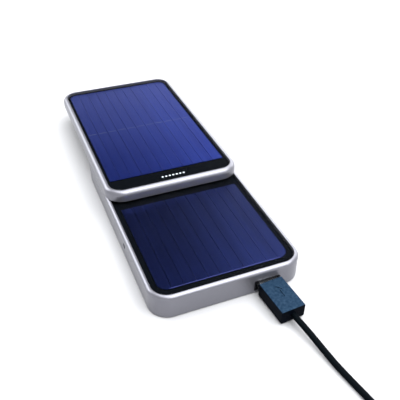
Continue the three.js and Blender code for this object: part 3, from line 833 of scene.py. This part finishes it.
def screw(kind, i):
    """A cross-head screw, head first. Its thread is a row of rings along the shank."""
    head_r, head_h, shank_r, length, body, head_up, sunk = SCREWS[kind]
    x_span, y_span, z_span = node_spans(f"{kind}_{i}")
    x, y, z = middle(x_span), middle(y_span), z_span[1] if head_up else z_span[0]
    seat = head_h if sunk else head_h * 0.72
    profile = [(head_r * 0.82, 0), (head_r * 0.95, head_h * 0.12), (head_r, head_h * 0.3)]
    profile += [(head_r, head_h * 0.5), (shank_r * 1.02, seat)]
    pitch = shank_r * 0.62
    h = head_h * 1.4
    for _ in range(int((length - h - shank_r) / pitch)):
        profile += [(shank_r * 0.82, h), (shank_r, h + pitch / 2)]
        h += pitch
    profile += [(shank_r * 0.8, h), (shank_r * 0.25, length)]
    obj = turned(f"{kind}_head_{i}", profile, (x, y, z), STEEL, flip=head_up)
    sign = -1 if head_up else 1
    depth = sorted((z - sign * 0.5, z + sign * head_h * 0.6))
    arm, half = head_r * 0.62, head_r * 0.13
    cross = [
        block("slot", around(x, arm), around(y, half), depth),
        block("slot", around(x, half), around(y, arm), depth),
    ]
    return place(tidy(cut(obj, cross), 40, weighted=False), body, "steel", f"{kind}_{i}")


def foot(i):
    """A rubber pad with a rounded lower edge."""
    x, y, z = node_spans(f"foot_{i}")
    r = (x[1] - x[0]) / 2
    profile = [(r - 1.2, 0), (r - 0.5, 0.05), (r - 0.12, 0.2), (r, z[1])]
    pad = turned(f"foot_pad_{i}", profile, (middle(x), middle(y), 0), RUBBER, 40)
    return place(tidy(pad, 50), "base", "rubber", f"foot_{i}")


for i in range(1, 5):
    for kind in SCREWS:
        screw(kind, i)
    foot(i)

refine("bottom_cover", "base_cover", BLACK, "base", "black_plastic", 0.2)
refine("rear_deck", "slide_deck", BLACK, "base", "black_plastic")
refine("upper_back_cover", "upper_underside", BLACK, "upper_panel", "black_plastic", 0.12)


# ---------------------------------------------------------------- sockets
def output_socket():
    """A tube of sheet metal with two spring windows in its roof, and the black frame round it."""
    x, z, mouth = SOCKET_X, SOCKET_Z, LOWER_FRONT + 1.25
    half_x, half_z, sheet = 5.6, 2.45, 0.28
    body = rounded_block(
        "socket_metal", around(x, half_x), (mouth, mouth + 9), around(z, half_z), 0.6, 1, NICKEL
    )
    hollow = rounded_block(
        "hollow", around(x, half_x - sheet), (mouth - 1, mouth + 8.7), around(z, half_z - sheet), 0.4, 1
    )
    windows = [
        block("window", around(x + side * 2.4, 0.7), (mouth + 2.4, mouth + 4.6), (z + 1, z + 5))
        for side in (-1, 1)
    ]
    cut(body, [hollow, *windows])
    place(tidy(body), "base", "plated_steel", "output_socket")
    refine("socket_bezel", "socket_frame", BLACK, "base", "black_plastic", 0.12)


def input_jack():
    """The jack's housing, and the pin in the middle of its hole."""
    refine("input_jack", "input_jack_body", BLACK_GLOSS, "base", "black_plastic", 0.2)
    x, y, _ = node_spans("input_jack")
    ends = [(px, middle(y), JACK_Z) for px in (x[0] + 0.6, x[0] + 6)]
    place(tidy(rod("input_jack_pin", 0.35, *ends, BRASS, 16)), "base", "brass")


output_socket()
input_jack()


# ---------------------------------------------------------------- inside the base
refine("battery_cell", "battery_pouch", FOIL, "base", "battery_foil", 0.8, 4)
refine("battery_protection_board", "battery_guard_board", BOARD, "base", "circuit_board", 0.08)
refine("main_board", "charger_board", BOARD, "base", "circuit_board", 0.08)
refine("boost_inductor", "inductor_core", FERRITE, "base", "ferrite", 0.35, 3)
refine("output_capacitor", "capacitor_can", STEEL, "base", "capacitor_can", 0.4, 4)
refine("boost_converter_chip", "converter_chip", BLACK_GLOSS, "base", "black_plastic", 0.1)
refine("charge_controller_chip", "controller_chip", BLACK_GLOSS, "base", "black_plastic", 0.1)
refine("blocking_diode", "diode_package", BLACK_GLOSS, "base", "black_plastic")
refine("battery_connector", "battery_plug_housing", IVORY, "base", "white_plastic", 0.2)


# ---------------------------------------------------------------- slide
refine("slide_shoe", "shoe_plate", STEEL_Y, "base", "steel", 0.12)
refine("detent_spring", "detent_leaf", STEEL_Y, "base", "steel", 0.04, 1)
for side in ("left", "right"):
    refine(f"contact_spring_{side}", f"contact_leaf_{side}", BRASS, "base", "brass", 0.04, 1)
for side in ("left", "right"):
    refine(f"rail_{side}", f"slide_rail_{side}", STEEL_Y, "upper_panel", "steel", 0.14)
for side in ("left", "right"):
    refine(f"contact_track_{side}", f"gold_track_{side}", BRASS, "upper_panel", "brass", 0.03, 1)
for end in ("open", "closed"):
    refine(f"{end}_bumper", f"bumper_{end}", RUBBER, "upper_panel", "rubber", 0.25)


# ---------------------------------------------------------------- plugs and tie
PLUG_TURN, PLUG_PIVOT_Y = 4.3, -90.8
MOUTH_R = CORD_D / 2 + 0.12  # the hole in a plug that the cord goes into


def askew(obj):
    """Turns a piece of the plug about a point in the socket, as the plug sits in it."""
    pivot = Matrix.Translation(Vector((SOCKET_X, PLUG_PIVOT_Y, 0)) * MM)
    obj.data.transform(pivot @ Matrix.Rotation(math.radians(PLUG_TURN), 4, "Z") @ pivot.inverted())
    return obj


def plug():
    """The plug in the socket: a housing with an arrow sunk in its top, and a hollow metal shell."""
    x, z = SOCKET_X, SOCKET_Z
    back, front = -115.2, -96.6  # the cord's end and the shell's end of the housing
    height = around(z, 3.4)
    body = rounded_block("plug_housing", around(x, 5.8), (back, front), height, 0.5, 1, SLATE)
    bevelled(body, 0.3, 4, 50)
    arrow = [(0, 3.6), (-2.0, 1.1), (-0.6, 1.1), (-0.6, -2.9), (0.6, -2.9), (0.6, 1.1), (2.0, 1.1)]
    arrow_y = (front + back) / 2 + 1.5
    mark = prism("mark", [(x + u, arrow_y + v) for u, v in arrow], (height[1] - 0.3, height[1] + 1), BLACK)
    mouth = rod("mouth", MOUTH_R, (x, back - 1, z), (x, back + 0.5, z))
    cut(body, [mark, mouth])
    place(tidy(askew(body)), "base", "plug_plastic", "plug_body")

    tip = -88
    shell = rounded_block(
        "plug_metal", around(x, 4.8), (front + 0.05, tip), around(z, 1.875), 0.7, 1, NICKEL
    )
    hollow = rounded_block("hollow", around(x, 4.45), (front + 1.5, tip + 1), around(z, 1.52), 0.5, 1)
    windows = [
        block("window", around(x + side * 2.3, 0.8), (front + 3.2, front + 5.4), (z + 0.5, z + 3))
        for side in (-1, 1)
    ]
    cut(shell, [hollow, *windows])
    place(tidy(askew(shell)), "base", "plated_steel", "plug_shell")
    return body, shell


def far_plug():
    """The plug at the cord's other end: a grooved housing, a hollow metal shell and its tongue."""
    above = 20  # higher than anything that is cut
    x, y, z = node_spans("far_plug_body")
    mid_y, mid_z = middle(y), middle(z)
    body = rounded_block("far_plug_housing", x, y, z, 1.6, 0, SLATE, 8)
    bevelled(body, 0.6, 4, 50)
    grips = []
    for k in range(5):
        start = x[0] + 6 + k * 1.6
        grips.append(block("grip", (start, start + 0.7), grown(y, -3), (z[1] - 0.3, above)))
    mouth = rod("mouth", MOUTH_R, (x[1] - 0.3, mid_y, mid_z), (x[1] + 1, mid_y, mid_z))
    cut(body, [*grips, mouth])
    place(tidy(body), "base", "plug_plastic", "far_plug_body")

    sheet = 0.35
    x, y, z = node_spans("far_plug_shell")
    shell = rounded_block("far_plug_metal", x, y, z, 0.5, 0, NICKEL)
    hollow = rounded_block("hollow", (x[0] - 1, x[1] - 1), grown(y, -sheet), grown(z, -sheet), 0.3, 0)
    holes = [
        block("hole", (x[0] + 6, x[0] + 8.4), around(mid_y + side * 2.9, 1.1), (z[1] - 1, above))
        for side in (-1, 1)
    ]
    cut(shell, [hollow, *holes])
    place(tidy(shell), "base", "plated_steel", "far_plug_shell")
    tongue = rounded_block(
        "far_plug_tongue", (x[0] + 0.8, x[1] - 0.5), grown(y, -0.5), (z[1] - 2.3, z[1] - 0.5), 0.2, 0, IVORY
    )
    place(tidy(tongue), "base", "white_plastic")
    return body, shell, tongue


def tie():
    """A woven strap closed round the coil's bundle, its end lying on top."""
    (left, right), y, z = around(COIL_CENTRE.x, 3), -197.35, 3.05
    half_y, half_z, thick = 5.95, 2.75, 0.28
    outer = outline(half_y + thick, half_z + thick, [1.5] * 4, steps=8)
    inner = outline(half_y, half_z, [1.3] * 4, steps=8)
    rings = [
        [(x, y + u, z + v) for u, v in flat]
        for x, flat in ((left, outer), (right, outer), (right, inner), (left, inner))
    ]
    band = loft("cord_strap", rings, STRAP, closed=True)
    bevelled(band, 0.06, 2, 50)
    top = z + half_z + thick
    end = block("strap_end", (left, right), (y - 3.6, y + 3.4), (top + 0.01, top + thick), STRAP)
    bevelled(end, 0.08, 2)
    place(tidy(band), "base", "black_plastic", "cord_tie")
    place(tidy(end), "base", "black_plastic")
    return band, end


cord_pieces = [*plug(), *far_plug(), *tie()]
cord.data.materials.append(JACKET)
place(cord, "base", "cord_jacket", "charge_cord", "cord_coil", "cord_tail")


# ---------------------------------------------------------------- floor and light
def floor():
    """A plain floor, 5 m on a side."""
    plan = [(x, y, 0) for x, y in bar(0, 0, 2500, 2500)]
    add_mesh("floor", plan, [(0, 1, 2, 3)], floor_material())


# Azimuth from +Y towards +X, elevation, inner and outer radius in degrees, then radiance or share
SKY_BASE = 0.85
SKY_LOBES = [
    (150, 54, 14, 36, 4.9),
    (75, 80, 24, 42, 4.3),
    (-40, 28, 10, 28, 5.6),
    (58, 16, 12, 38, 3.4),
    (14, 4, 6, 30, 1.1),
]
SKY_SHADE = (0, 46, 10, 27, 0.97)


def world():
    """Pale to the eye. As light, a soft sky with bright lobes, dim where the flat panels mirror it."""
    n = Nodes(bpy.data.worlds.new("studio"))
    direction = n.add("ShaderNodeTexCoord").outputs["Generated"]

    def lobe(azimuth, elevation, inner, outer, amount):
        """The amount within the inner radius of a direction, and 0 beyond the outer radius."""
        a, e = math.radians(azimuth), math.radians(elevation)
        centre = (math.sin(a) * math.cos(e), math.cos(a) * math.cos(e), math.sin(e))
        near = n.add("ShaderNodeVectorMath", {"operation": "DOT_PRODUCT"}, _0=direction, _1=centre)
        low, high = math.cos(math.radians(outer)), math.cos(math.radians(inner))
        share = n.add(
            "ShaderNodeMapRange", {"interpolation_type": "SMOOTHSTEP"},
            _0=near.outputs["Value"], _1=low, _2=high, _3=0.0, _4=1.0,
        )
        return n.math("MULTIPLY", share.outputs[0], amount)

    total = SKY_BASE
    for row in SKY_LOBES:
        total = n.math("ADD", total, lobe(*row))
    total = n.math("MULTIPLY", total, n.math("SUBTRACT", 1.0, lobe(*SKY_SHADE)))
    seen = n.add("ShaderNodeBackground", _0=(0.99, 0.99, 0.995))
    around_it = n.add("ShaderNodeBackground", _0=(0.97, 0.98, 1.0), _1=total)
    camera_ray = n.add("ShaderNodeLightPath").outputs["Is Camera Ray"]
    mixed = n.add("ShaderNodeMixShader", _0=camera_ray, _1=around_it.outputs[0], _2=seen.outputs[0])
    n.add("ShaderNodeOutputWorld", _0=mixed.outputs[0])
    scene.world = n.owner


floor()
world()
